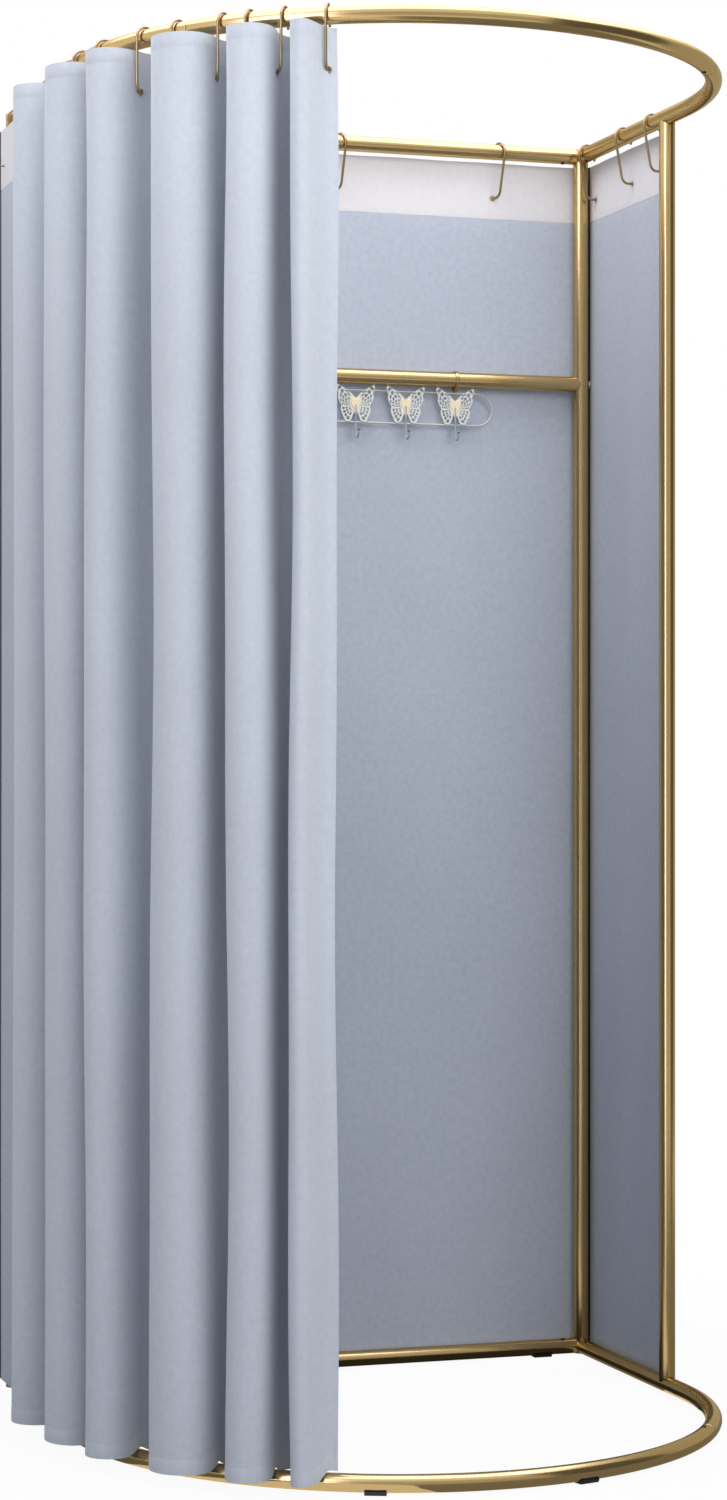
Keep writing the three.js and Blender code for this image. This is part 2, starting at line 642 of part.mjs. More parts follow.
function prong() {
  const back = -prongRadius;
  const low = -rackTop - rackHeight - prongDrop + prongRadius + prongBend;
  const points = [new THREE.Vector3(0, back, plateBottom + butterflyHeight / 2), new THREE.Vector3(0, back, low)];
  for (let step = 1; step <= bendSteps; step += 1) {
    const swing = (Math.PI * step) / bendSteps;
    points.push(new THREE.Vector3(0, back - prongBend * (1 - Math.cos(swing)), low - prongBend * Math.sin(swing)));
  }
  points.push(new THREE.Vector3(0, back - 2 * prongBend, low + prongTip));
  const ball = new THREE.SphereGeometry(prongBall, prongSides + 2, prongSides).rotateX(Math.PI / 2);
  ball.translate(0, back - 2 * prongBend, low + prongTip);
  return join([sweep(points, prongRadius, prongSides), ball]);
}

const butterfly = join([butterflyPlate().translate(0, 0, plateBottom), prong()]);
for (let index = 0; index < rackCount; index += 1) {
  const x = (index - (rackCount - 1) / 2) * rackPitch;
  const front = sideDepth + rackSetback - rackWireRadius - seatGap;
  const place = new THREE.Matrix4().makeTranslation(x, front, crossbarHeight);
  addPart(`butterfly_${index + 1}`, butterfly.clone(), filigree(), place);
}

// The origin is the middle of the box round the whole room, on the floor
const middle = new THREE.Box3().setFromObject(fittingRoom, true).getCenter(new THREE.Vector3());
fittingRoom.position.set(-middle.x, -middle.y, 0);

export default fittingRoom;
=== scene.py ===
import math

import bpy
import numpy as np
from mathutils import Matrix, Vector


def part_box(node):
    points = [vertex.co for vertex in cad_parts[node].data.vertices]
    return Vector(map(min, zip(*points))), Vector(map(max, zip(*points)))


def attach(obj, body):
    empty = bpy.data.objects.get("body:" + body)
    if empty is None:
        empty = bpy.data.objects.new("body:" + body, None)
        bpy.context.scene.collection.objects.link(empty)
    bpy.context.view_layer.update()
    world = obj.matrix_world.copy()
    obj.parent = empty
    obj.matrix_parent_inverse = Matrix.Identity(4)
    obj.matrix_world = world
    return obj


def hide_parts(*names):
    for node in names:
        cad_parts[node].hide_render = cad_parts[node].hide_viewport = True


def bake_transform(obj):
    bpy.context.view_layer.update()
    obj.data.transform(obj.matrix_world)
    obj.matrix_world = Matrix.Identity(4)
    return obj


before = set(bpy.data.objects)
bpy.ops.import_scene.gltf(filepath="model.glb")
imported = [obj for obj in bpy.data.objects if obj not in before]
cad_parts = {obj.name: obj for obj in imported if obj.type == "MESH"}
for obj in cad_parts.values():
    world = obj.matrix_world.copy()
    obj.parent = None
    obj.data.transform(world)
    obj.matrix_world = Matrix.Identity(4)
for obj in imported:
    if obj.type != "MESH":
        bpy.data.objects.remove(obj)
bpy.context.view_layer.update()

# Camera: stands in front of the room, a little to the left, at chest height, and looks level into the
# cabin. Its lens and shifts give the photograph's own frame.
def add_object(name, data):
    """Adds an object with the given data to the scene."""
    thing = bpy.data.objects.new(name, data)
    bpy.context.collection.objects.link(thing)
    return thing


camera = add_object("camera", bpy.data.cameras.new("camera"))
camera.location = (-1.5368, -4.4796, 0.982)
camera.rotation_euler = (math.radians(90), 0, math.radians(-17.5))
camera.data.lens = 76.656
camera.data.shift_x = 0.0427
camera.data.shift_y = 0.0086
bpy.context.scene.camera = camera

# Frame tubes: round steel tube, plated and polished to a brass gold. The side rails are bent to plug into
# the curved front, the back rails, crossbar and front uprights are coped onto the tubes that they meet,
# and the two corner posts run the whole height.
def box_middle(node):
    """Middle of a CAD node's box: half the sum of its low and high corners."""
    low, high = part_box(node)
    return (np.array(low) + np.array(high)) / 2


left_post, right_post = box_middle("back_left_upright"), box_middle("back_right_upright")
post_low, post_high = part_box("back_left_upright")
tube_radius = (post_high.x - post_low.x) / 2
room_x = (left_post[0] + right_post[0]) / 2
arc_radius = (right_post[0] - left_post[0]) / 2
back_y = left_post[1]
front_y = box_middle("front_left_upright")[1]
arc_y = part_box("top_front_arc")[0].y + arc_radius + tube_radius
top_z, base_z = box_middle("top_back_rail")[2], box_middle("base_back_rail")[2]
crossbar_z = box_middle("crossbar")[2]
seam_degrees, seam_gap = 36.4, 0.0007
cope_gap, cope_lead, butt_lead = 0.0006, 2.2, 0.03
tube_sides, tube_softening, soft_rows = 40, 0.0009, 5
straight_step, rail_step, front_step = 0.08, 0.012, 0.008


def surface(name, grid, material, uv=None, along_closed=False, caps="flat", sharp=50):
    """Mesh on a grid of points, rows along the piece and columns round it, the last next to the first:
    every four neighbours make a face. Flat caps close the first and last row, and strip caps close them
    across a thin shell."""
    rows, columns = grid.shape[:2]
    number = np.arange(rows * columns).reshape(rows, columns)
    if along_closed:
        number = np.vstack([number, number[:1]])
    number = np.hstack([number, number[:, :1]])
    if uv is None:
        uv = np.stack(np.meshgrid(*(np.linspace(0, 1, n) for n in number.shape), indexing="ij"), axis=-1)
    row, column = np.meshgrid(*(np.arange(n - 1) for n in number.shape), indexing="ij")
    turns = [(0, 0), (0, 1), (1, 1), (1, 0)]
    faces = [np.stack([number[row + a, column + b] for a, b in turns], axis=-1).reshape(-1, 4)]
    places = [np.stack([uv[row + a, column + b] for a, b in turns], axis=-2).reshape(-1, 2)]
    for end, way in ((0, -1), (-1, 1)) if not along_closed else ():
        ring, spots = number[end, :columns], uv[end, :columns]
        if caps == "flat":
            faces.append(ring[None, ::way])
            places.append(spots[::way])
        else:
            step = np.arange(columns // 2 - 1)
            across = [step, step + 1, columns - 2 - step, columns - 1 - step][::way]
            faces.append(np.stack([ring[k] for k in across], axis=-1))
            places.append(np.stack([spots[k] for k in across], axis=-2).reshape(-1, 2))
    mesh = bpy.data.meshes.new(name)
    mesh.from_pydata(grid.reshape(-1, 3).tolist(), [], [face for part in faces for face in part.tolist()])
    mesh.uv_layers.new(name="UVMap").data.foreach_set("uv", np.concatenate(places).ravel())
    mesh.shade_smooth()
    mesh.set_sharp_from_angle(angle=math.radians(sharp))
    for finish in material if isinstance(material, list) else [material]:
        mesh.materials.append(finish)
    return add_object(name, mesh)


def circle(radius, count):
    """Points (radius cos a, radius sin a) for a round section, a going once round."""
    turn = np.linspace(0, 2 * np.pi, count, endpoint=False)
    return radius * np.stack([np.cos(turn), np.sin(turn)], axis=1)


def carried(path, section, side, scale=1.0, closed=False):
    """A section carried along a path: path + scale (x across + y over), where across is the side direction
    made square to the path, and over is the path's direction crossed with it."""
    along = np.roll(path, -1, 0) - np.roll(path, 1, 0) if closed else np.gradient(path, axis=0)
    along = along / np.linalg.norm(along, axis=1, keepdims=True)
    across = side - along * (along @ np.array(side, float))[:, None]
    across = (across / np.linalg.norm(across, axis=1, keepdims=True))[:, None]
    over = np.cross(along[:, None], across)
    size = np.broadcast_to(scale, len(path))[:, None, None]
    return path[:, None] + size * (section[None, :, :1] * across + section[None, :, 1:] * over)


def spread(path, distances):
    """Points at given distances along a line of points, by straight shares between its points."""
    run = np.concatenate([[0], np.cumsum(np.linalg.norm(np.diff(path, axis=0), axis=1))])
    return np.stack([np.interp(distances, run, path[:, k]) for k in range(path.shape[1])], axis=1)


def round_bar(path, radius, softening, side, count, step):
    """Grid of a round bar or tube along a path: the radius is full but for the last stretch at each end,
    where it follows a quarter circle of the softening's radius. Also gives its UV grid in metres."""
    long = np.linalg.norm(np.diff(path, axis=0), axis=1).sum()
    swing = np.linspace(0.06, 1, soft_rows) * np.pi / 2
    lead = softening * (1 - np.cos(swing))
    middle = np.linspace(softening, long - softening, max(int(round(long / step)), 1) + 1)
    distances = np.concatenate([lead, middle[1:-1], long - lead[::-1]])
    slim = softening * (1 - np.sin(swing)) / radius
    scale = 1 - np.concatenate([slim, np.zeros(len(middle) - 2), slim[::-1]])
    grid = carried(spread(path, distances), circle(radius, count), side, scale)
    girth = np.linspace(0, 2 * np.pi * radius, count + 1)
    return grid, np.stack(np.meshgrid(distances, girth, indexing="ij"), axis=-1)


def fill(tree, node, inputs):
    """Fills a node's inputs with values, or wires them from another node's output."""
    for key, value in inputs.items():
        if isinstance(value, bpy.types.NodeSocket):
            tree.links.new(value, node.inputs[key])
        else:
            node.inputs[key].default_value = value


def node_adder(tree):
    """A function that adds a node to a tree, for its kind, its inputs and its settings."""
    def add(kind, inputs=(), **settings):
        """Adds one node: settings go on the node, and inputs are filled or wired."""
        node = tree.nodes.new(kind)
        for key, value in settings.items():
            setattr(node, key, value)
        fill(tree, node, dict(inputs))
        return node

    return add


def material_tree(name):
    """A new node material, its tree, and the function that adds a node to it."""
    material = bpy.data.materials.new(name)
    material.use_nodes = True
    return material, material.node_tree, node_adder(material.node_tree)


def shading(tree, **inputs):
    """Fills or wires the inputs of a material's Principled shader."""
    named = {key.replace("_", " "): value for key, value in inputs.items()}
    fill(tree, tree.nodes["Principled BSDF"], named)


def mixed_colour(add, share, first, second, **settings):
    """Output of a colour mix: the first colour where the share is 0, the second where it is 1."""
    return add("ShaderNodeMix", {"Factor": share, "A": first, "B": second}, data_type="RGBA",
               **settings).outputs[2]


def metal(name, bright, deep, roughness, polish_scale, relief, metallic=1.0):
    """Polished metal: a mild drift between two tones, and fine polishing lines, 14 times as long as they
    are wide, that change its gloss from 0.95 to 1.08 of the roughness."""
    material, tree, add = material_tree(name)
    place = add("ShaderNodeTexCoord")
    drift = add("ShaderNodeTexNoise", {"Vector": place.outputs["Object"], "Scale": 9, "Detail": 3})
    drawn = add("ShaderNodeMapping", {"Vector": place.outputs["UV"],
                                      "Scale": (polish_scale / 14, polish_scale, 1)})
    lines = add("ShaderNodeTexNoise", {"Vector": drawn.outputs["Vector"], "Scale": 1, "Detail": 4})
    tone = mixed_colour(add, drift.outputs["Fac"], (*deep, 1), (*bright, 1))
    gloss = add("ShaderNodeMapRange", {"Value": lines.outputs["Fac"], "From Min": 0.3, "From Max": 0.7,
                                       "To Min": roughness * 0.95, "To Max": roughness * 1.08})
    bump = add("ShaderNodeBump", {"Height": lines.outputs["Fac"], "Strength": relief, "Distance": 0.0002})
    shading(tree, Base_Color=tone, Metallic=metallic, Roughness=gloss.outputs["Result"],
            Specular_Tint=(0.95, 0.83, 0.6, 1), Normal=bump.outputs["Normal"])
    return material


brass = metal("brass_gold_plating", (0.64, 0.46, 0.21), (0.58, 0.41, 0.175), 0.2, 700, 0.004)


def finish_tube(grid, uv, node):
    """Makes one frame tube from its grid, in place of its CAD node."""
    piece = surface(node + "_tube", grid, brass, uv)
    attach(piece, "frame")
    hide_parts(node)


def straight_tube(start, end, square=None):
    """Grid of a straight tube. Where a direction square to it and to the round tubes that it meets is
    given, both ends are coped: their distance short of the axis through the end point is the root of
    (radius + gap)^2 - offset^2, and the offset is measured in that direction."""
    start, end = np.array(start, float), np.array(end, float)
    way = (end - start) / np.linalg.norm(end - start)
    side = (0, 0, 1) if abs(way[2]) < 0.5 else (0, 1, 0)
    reach = tube_radius + cope_gap
    inset = way * reach * cope_lead * (square is not None)
    grid, uv = round_bar(np.array([start + inset, end - inset]), tube_radius, tube_softening, side,
                         tube_sides, straight_step)
    if square is None:
        return grid, uv
    ring = circle(tube_radius, tube_sides)
    ring = ring[:, :1] * np.array(side, float) + ring[:, 1:] * np.cross(way, side)
    short = way * np.sqrt(reach ** 2 - (ring @ np.array(square, float)) ** 2)[:, None]
    ends = (start + ring + short)[None], (end + ring - short)[None]
    return (np.concatenate([ends[0], grid[soft_rows:-soft_rows], ends[1]]),
            uv[soft_rows - 1:1 - soft_rows])


def front_bend(turn, way, z):
    """Points (middle + way radius cos a, centre - radius sin a, z) on the front curve's own axis, where the
    turn a starts at the right end for way 1 and at the left end for way -1."""
    return np.stack([room_x + way * arc_radius * np.cos(turn), arc_y - arc_radius * np.sin(turn),
                     z + 0 * turn], axis=-1)


seam_half = np.degrees(seam_gap / 2 / arc_radius)
for level, z in (("top", top_z), ("base", base_z)):
    finish_tube(*straight_tube((left_post[0], back_y, z), (right_post[0], back_y, z), (0, 1, 0)),
                f"{level}_back_rail")
    for name, post, way in (("left", left_post, -1), ("right", right_post, 1)):
        bend = front_bend(np.radians(np.linspace(0, seam_degrees - seam_half, 40)), way, z)
        line = np.concatenate([[[post[0], back_y - butt_lead, z], [post[0], front_y, z]], bend])
        grid, uv = round_bar(line, tube_radius, tube_softening, (0, 0, 1), tube_sides, rail_step)
        butt = grid[soft_rows].copy()
        butt[:, 1] = back_y - np.sqrt((tube_radius + cope_gap) ** 2 - (butt[:, 0] - post[0]) ** 2)
        finish_tube(np.concatenate([butt[None], grid[soft_rows:]]), uv[soft_rows - 1:],
                    f"{level}_{name}_rail")
    turn = np.radians(np.linspace(seam_degrees + seam_half, 180 - seam_degrees - seam_half, 140))
    finish_tube(*round_bar(front_bend(turn, -1, z), tube_radius, tube_softening, (0, 0, 1), tube_sides,
                           front_step), f"{level}_front_arc")

for name, post in (("left", left_post), ("right", right_post)):
    foot, head = (post[0], front_y, base_z), (post[0], front_y, top_z)
    finish_tube(*straight_tube(foot, head, (1, 0, 0)), f"front_{name}_upright")
    foot, head = (post[0], back_y, post_low.z), (post[0], back_y, post_high.z)
    finish_tube(*straight_tube(foot, head), f"back_{name}_upright")

finish_tube(*straight_tube((left_post[0], back_y, crossbar_z), (right_post[0], back_y, crossbar_z),
                           (0, 1, 0)), "crossbar")


# Bolts and screws: zinc bolts with domed heads hold the crossbar through the corner posts, and small dark
# socket screws hold each plugged joint of the rails from below and behind.
def turned(profile, foot, axis, count=28):
    """Grid of a turned shape: profile rows (radius, height) swung once round an axis through the foot."""
    axis = np.array(axis, float) / np.linalg.norm(axis)
    side = np.cross(axis, (0, 0, 1) if abs(axis[2]) < 0.9 else (1, 0, 0))
    side = side / np.linalg.norm(side)
    ring = circle(1, count)
    rim = ring[:, :1] * side + ring[:, 1:] * np.cross(axis, side)
    profile = np.array(profile)
    return np.array(foot) + profile[:, :1, None] * rim[None] + profile[:, 1:, None] * axis


zinc = metal("bolt_zinc", (0.66, 0.62, 0.52), (0.5, 0.46, 0.38), 0.28, 1500, 0.1)
dark_steel = metal("dark_screw", (0.1, 0.08, 0.05), (0.04, 0.03, 0.02), 0.35, 1500, 0.1)
bolt_radius, bolt_depth, bolt_head_radius, bolt_rim, bolt_dome = 0.003, 0.03, 0.0065, 0.0016, 0.0044
rim_softening = 0.0003
seat = tube_radius + rim_softening
dome = np.linspace(0, np.pi / 2, 7)[:-1]
bolt_head = np.stack([bolt_head_radius * np.cos(dome),
                      seat + bolt_rim + (bolt_dome - bolt_rim) * np.sin(dome)], axis=1)
bolt_profile = [[0.0005, -bolt_depth], [bolt_radius, -bolt_depth], [bolt_radius, seat],
                [bolt_head_radius - rim_softening, seat], [bolt_head_radius, seat + rim_softening],
                *bolt_head, [0.0004, seat + bolt_dome]]
for name, post, way in (("left", left_post, -1), ("right", right_post, 1)):
    grid = turned(bolt_profile, (post[0], back_y, crossbar_z), (way, 0, 0))
    bolt = surface(f"crossbar_bolt_{name}_domed", grid, zinc)
    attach(bolt, "frame")
    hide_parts(f"crossbar_bolt_{name}")

screw_profile = [[0.0003, -0.001], [0.0034, -0.001], [0.0034, 0.0005], [0.0029, 0.0012], [0.0017, 0.0014],
                 [0.0015, 0.0003], [0.0003, 0.0002]]
screw_inset, screw_slant, screw_turn = 0.034, 0.35, math.radians(seam_degrees + 2.2)
screw_seats = []
for z, up in ((top_z, -1), (base_z, 1)):
    for way in (-1, 1):
        post_x = room_x + way * arc_radius
        screw_seats += [((post_x - way * screw_inset, back_y, z), (0, -screw_slant, up)),
                        ((post_x, back_y - screw_inset, z), (-way * screw_slant, 0, up)),
                        (front_bend(screw_turn, way, z), (0, 0, up))]
for index, (spot, facing) in enumerate(screw_seats):
    facing = np.array(facing) / np.linalg.norm(facing)
    grid = turned(screw_profile, np.array(spot) + facing * tube_radius, facing, 16)
    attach(surface(f"joint_screw_{index + 1}", grid, dark_steel), "frame")

# Foot pads: four moulded saddles of black rubber, finely grained, pushed onto the underside of the base
# tube.
rubber, tree, add = material_tree("black_rubber")
place = add("ShaderNodeTexCoord").outputs["Object"]
grain = add("ShaderNodeTexNoise", {"Vector": place, "Scale": 900, "Detail": 2}).outputs["Fac"]
bump = add("ShaderNodeBump", {"Height": grain, "Strength": 0.2, "Distance": 0.0003})
shading(tree, Base_Color=mixed_colour(add, grain, (0.008, 0.008, 0.009, 1), (0.022, 0.022, 0.023, 1)),
        Roughness=0.62, Normal=bump.outputs["Normal"])
for node in ("foot_pad_front_left", "foot_pad_front_right", "foot_pad_back_left", "foot_pad_back_right"):
    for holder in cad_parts[node].material_slots:
        holder.material = rubber

# Cloth walls: three flat sheets of slub linen with an off-white heading band sewn across the top, hemmed
# at the sides and the foot, hung outside the rails on wire hooks. Along the side walls' rear hems a strip
# of near-black is painted shade: it stands in for the shadow in the narrow gap beside each corner post.
def linen(name, light, dark, mottle, sheen):
    """Slub linen, its pattern in metres on the UV map: long soft slubs along each thread direction and a
    cloudy mottle of a few millimetres shift its tone, and the slubs raise its surface."""
    material, tree, add = material_tree(name)
    place = add("ShaderNodeTexCoord").outputs["UV"]

    def streaks(scale, detail, seed):
        """Noise drawn out by a scale for each direction, from its own part of the pattern."""
        shifted = add("ShaderNodeMapping", {"Vector": place, "Scale": scale,
                                            "Location": (seed, seed * 0.7, 0)})
        return add("ShaderNodeTexNoise", {"Vector": shifted.outputs["Vector"], "Scale": 1,
                                          "Detail": detail, "Roughness": 0.6}).outputs["Fac"]

    def weighed(first, second, weight):
        """Weight times the first pattern plus the rest of 1 times the second."""
        parts = [add("ShaderNodeMath", {0: pattern, 1: part}, operation="MULTIPLY").outputs[0]
                 for pattern, part in ((first, weight), (second, 1 - weight))]
        return add("ShaderNodeMath", {0: parts[0], 1: parts[1]}, operation="ADD").outputs[0]

    weft, warp = streaks((70, 520, 1), 3, 3.1), streaks((560, 60, 1), 3, 7.7)
    cloud, broad = streaks((110, 95, 1), 4, 1.3), streaks((5, 3, 1), 2, 5.9)
    slub = weighed(weft, warp, 0.5)
    tone = add("ShaderNodeMapRange", {"Value": weighed(slub, cloud, 0.45), "From Min": 0.5 - mottle,
                                      "From Max": 0.5 + mottle}).outputs["Result"]
    soft = add("ShaderNodeMapRange", {"Value": broad, "From Min": 0.3, "From Max": 0.7, "To Min": 0.965,
                                      "To Max": 1.02}).outputs["Result"]
    colour = mixed_colour(add, tone, (*dark, 1), (*light, 1))
    bump = add("ShaderNodeBump", {"Height": slub, "Strength": 0.35, "Distance": 0.0005})
    shading(tree, Base_Color=mixed_colour(add, 1.0, colour, soft, blend_type="MULTIPLY"), Roughness=0.88,
            Sheen_Weight=sheen, Sheen_Roughness=0.5, Normal=bump.outputs["Normal"])
    return material


blue_linen = linen("blue_grey_linen", (0.45, 0.482, 0.556), (0.368, 0.398, 0.468), 0.16, 0.1)
curtain_linen = linen("curtain_linen", (0.56, 0.592, 0.655), (0.485, 0.515, 0.58), 0.18, 0.3)
heading = linen("off_white_heading", (0.71, 0.69, 0.705), (0.645, 0.625, 0.64), 0.2, 0.08)
# Near-black linen that paints shade: the shadow in the narrow gap between each side wall and its corner post.
post_gap_shadow_paint = linen("painted_post_gap_shadow", (0.024, 0.024, 0.03), (0.012, 0.012, 0.016), 0.2, 0.02)
wall_thickness, side_fold, foot_fold, heading_fold = 0.0013, 0.0008, 0.0007, 0.0009
wall_setback, wall_edge, corner_reach = 0.019, tube_radius + 0.003, 0.0145
wall_top, wall_foot = top_z - tube_radius - 0.002, base_z + tube_radius - 0.012
side_hem, foot_hem, hem_row, heading_depth = 0.012, 0.02, 0.0012, 0.093
heading_seam = wall_top - heading_depth
stitch_sink, stitch_inset, stitch_width, seam_width = 0.0006, 0.0016, 0.0007, 0.0008


def cloth_shell(name, line, levels, thickness, material):
    """Thin closed cloth over a plan line: at each level the line's points are moved half the thickness to
    either side, square to the line. Levels is an array of heights, rows by line points, and the line may
    have rows too. UV is (distance along the line, height)."""
    rows, count = levels.shape
    line = np.broadcast_to(line, (rows, count, 2))
    along = np.gradient(line, axis=1)
    along = along / np.linalg.norm(along, axis=2, keepdims=True)
    square = np.stack([along[..., 1], -along[..., 0]], axis=2)
    shift = square * np.broadcast_to(thickness, (rows, count))[..., None] / 2
    plan = np.concatenate([line + shift, (line - shift)[:, ::-1]], axis=1)
    grid = np.concatenate([plan, np.concatenate([levels, levels[:, ::-1]], axis=1)[..., None]], axis=2)
    run = np.concatenate([[0], np.cumsum(np.linalg.norm(np.diff(line[rows // 2], axis=0), axis=1))])
    run = np.broadcast_to(run, (rows, count))
    uv = np.stack([np.concatenate([run, run[:, ::-1]], axis=1), grid[..., 2]], axis=2)
    uv = np.concatenate([uv, uv[:, :1]], axis=1)
    return surface(name, grid, material, uv, caps="strip", sharp=60)


def ridge(distance, width):
    """1 on a seam and 0 away from it: e to the power of minus (distance / width) squared."""
    return np.exp(-(distance / width) ** 2)


wall_rows = np.unique(np.concatenate([
    wall_foot + np.array([0, 0.0006, 0.008, foot_hem - hem_row, foot_hem, foot_hem + hem_row]),
    np.linspace(wall_foot + 0.04, heading_seam - 0.03, 44),
    heading_seam + np.array([-0.0015, -0.0006, 0, 0.0006, 0.0015]),
    np.linspace(heading_seam + 0.012, wall_top - 0.016, 6),
    wall_top - np.array([0.0105, 0.01, 0.0008, 0])]))
wall_left, wall_right = left_post[0] - wall_setback, right_post[0] + wall_setback
wall_back, wall_front = back_y + corner_reach, front_y + wall_edge
walls = [
    ("back", (left_post[0] - corner_reach, back_y + wall_setback),
     (right_post[0] + corner_reach, back_y + wall_setback), (0, 1), 3,
     ["back_hook_left_1", "back_hook_left_2", "back_hook_right_1", "back_hook_right_2"]),
    ("left", (wall_left, wall_back), (wall_left, wall_front), (-1, 0), 2,
     ["side_hook_left_1", "side_hook_left_2", "side_hook_left_3"]),
    ("right", (wall_right, wall_front), (wall_right, wall_back), (1, 0), 2,
     ["side_hook_right_1", "side_hook_right_2", "side_hook_right_3"])]
for side_name, start, end, out, scallops, hooks in walls:
    start, end, out = np.array(start), np.array(end), np.array(out)
    width = np.linalg.norm(end - start)
    near_edge = np.array([0, 0.0008, 0.006, side_hem - hem_row, side_hem, side_hem + hem_row])
    across = np.unique(np.concatenate([near_edge, np.linspace(0.02, width - 0.02, 60), width - near_edge]))
    height = wall_rows[:, None] * np.ones(len(across))
    share, up = across / width, (height - wall_foot) / (wall_top - wall_foot)
    slack = np.sin(np.pi * share)
    sag = 0.0007 * np.sin(2 * np.pi * share * scallops) ** 2 * ridge(up - 1, 0.03)
    billow = slack * (0.0035 * np.sin(2.1 * np.pi * up + 0.6) - 0.0015) * (1 - ridge(up - 1, 0.12))
    ripple = 0.0012 * np.sin(2 * np.pi * (share * 2.6 + up * 0.8)) * slack * (1 - ridge(up - 1, 0.1))
    edges = np.minimum(across, width - across)
    thick = wall_thickness + side_fold * (edges < side_hem) + foot_fold * (height < wall_foot + foot_hem)
    thick = thick + heading_fold * (height > heading_seam)
    thick = thick - stitch_sink * ridge(height - heading_seam, seam_width)
    thick = thick - stitch_sink * ridge(edges - side_hem + stitch_inset, stitch_width)
    thick = thick - stitch_sink * ridge(height - wall_foot - foot_hem + stitch_inset, stitch_width)
    line = start + (end - start) * share[:, None] + out * (billow + ripple)[..., None]
    lift = np.where(height > wall_top - 0.05, -sag, 0)
    wall = cloth_shell(f"{side_name}_wall_linen", line, height + lift, thick,
                       [blue_linen, heading, post_gap_shadow_paint])
    middles = np.empty(len(wall.data.polygons) * 3)
    wall.data.polygons.foreach_get("center", middles)
    cloth_and_shadow_slot = (middles[2::3] > heading_seam).astype(np.int32)
    # On the side walls, the last hem width at the rear gets slot 2, the painted shadow of the gap beside the
    # corner post.
    if side_name != "back":
        cloth_and_shadow_slot[middles[1::3] > wall_back - side_hem] = 2
    wall.data.polygons.foreach_set("material_index", cloth_and_shadow_slot)
    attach(wall, "frame")
    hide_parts(f"{side_name}_cloth_wall")

# Curtain: one long sheet of the same linen, gathered at the left in deep round folds that hang straight. It
# slides, so it is made in lengths that meet in the flanks of the folds: a length between hooks that move
# apart is left on no body, and the others ride on one.
curtain_thickness, hem_fold, head_fold, lead_fold = 0.0014, 0.0008, 0.0006, 0.0008
curtain_top = top_z - tube_radius - 0.0045
curtain_hem, curtain_rise = 0.02, 0.0105
cloth_height, hem_depth, head_depth, lead_hem = 1.94, 0.0198, 0.02, 0.012
tail_setout = 0.0226
first_bulge, outer_bulge, inner_bulge, swell = 0.0745, 0.065, 0.045, 0.24
gathered = 0.5376
shares = np.array([0.127, 0.144, 0.0816, 0.1032, 0.1201, 0.1407, 0.076, 0.0941, 0.0705, 0.0428])
bulge_ends = np.concatenate([[-0.105, -0.0376], -0.0376 + gathered * np.cumsum(shares)])
tail_start = -0.129
lead_hook_spot = bulge_ends[-1] + 0.011
lead_fall = np.array([[sum(bulge_ends[-2:]) / 2, outer_bulge], [0.4952, 0.0585], [0.5, 0.042],
                      [0.5035, 0.0235], [0.5072, 0.0075], [0.5125, -0.0015], [0.5176, -0.0055],
                      [0.522, -0.007]])
fold_step, bend_inset = 0.0018, 0.012


def rail_place(distance, setout, z):
    """Points beside the rail: distance runs along its centreline from the left end of the curve, setout is
    measured outwards from it. Straight where the distance is negative, else on the curve's circle."""
    distance, setout = np.broadcast_arrays(np.asarray(distance, float), np.asarray(setout, float))
    turn = np.pi + np.maximum(distance, 0) / arc_radius
    x = room_x + (arc_radius + setout) * np.cos(turn)
    y = arc_y + (arc_radius + setout) * np.sin(turn) - np.minimum(distance, 0)
    return np.stack([x, y, np.broadcast_to(z, x.shape)], axis=-1)


def bulge(start, end, height, finish=1.0, rise_from=0.0):
    """One bulge of the gathered cloth, as (distance, setout): a swing goes from 0 to half a turn, the
    setout is height times its sine, and the distance goes from neck to neck by its cosine, wider than the
    necks by the swell times the height times the sine."""
    swing = np.linspace(0, np.pi * finish, 90)
    lean = (end - start) / 2 + swell * abs(height) * np.sin(swing)
    first_half = rise_from + (height - rise_from) * np.sin(swing)
    rise = np.where(swing < np.pi / 2, first_half, height * np.sin(swing))
    return np.stack([(start + end) / 2 - lean * np.cos(swing), rise], axis=1)


def smooth_line(points, count):
    """A smooth curve through points: on each stretch the cubic that keeps the neighbours' slopes."""
    p = np.concatenate([2 * points[:1] - points[1:2], points, 2 * points[-1:] - points[-2:-1]])
    t = np.linspace(0, 1, count, endpoint=False)[None, :, None]
    a, b, c, d = (p[k:len(p) - 3 + k, None] for k in range(4))
    curve = b + t * (c - a) / 2 + t ** 2 * (a - 2.5 * b + 2 * c - d / 2)
    curve = curve + t ** 3 * (1.5 * (b - c) + (d - a) / 2)
    return np.concatenate([curve.reshape(-1, 2), points[-1:]])


runs = [np.array([[tail_start, tail_setout], [bulge_ends[0], tail_setout]]),
        bulge(bulge_ends[0], bulge_ends[1], first_bulge, rise_from=tail_setout)]
for k in range(1, len(bulge_ends) - 2):
    runs.append(bulge(bulge_ends[k], bulge_ends[k + 1], -inner_bulge if k % 2 else outer_bulge))
runs.append(np.concatenate([bulge(*bulge_ends[-2:], outer_bulge, 0.5), smooth_line(lead_fall, 30)[1:]]))
marks = np.cumsum([np.linalg.norm(np.diff(r, axis=0), axis=1).sum() for r in runs])
path = np.concatenate([runs[0]] + [r[1:] for r in runs[1:]])
steps = int(round(marks[-1] / fold_step))
cuts = np.round(marks / marks[-1] * steps).astype(int)
cuts[0] = 0
developed = np.linspace(0, marks[-1], steps + 1)
plan = spread(path, developed)
window = np.hanning(11)[1:-1]
window = window / window.sum()
reach = len(window) // 2
padded = np.concatenate([2 * plan[:1] - plan[reach:0:-1], plan, 2 * plan[-1:] - plan[-2:-reach - 2:-1]])
plan = np.stack([np.convolve(padded[:, k], window, "valid") for k in range(2)], axis=1)

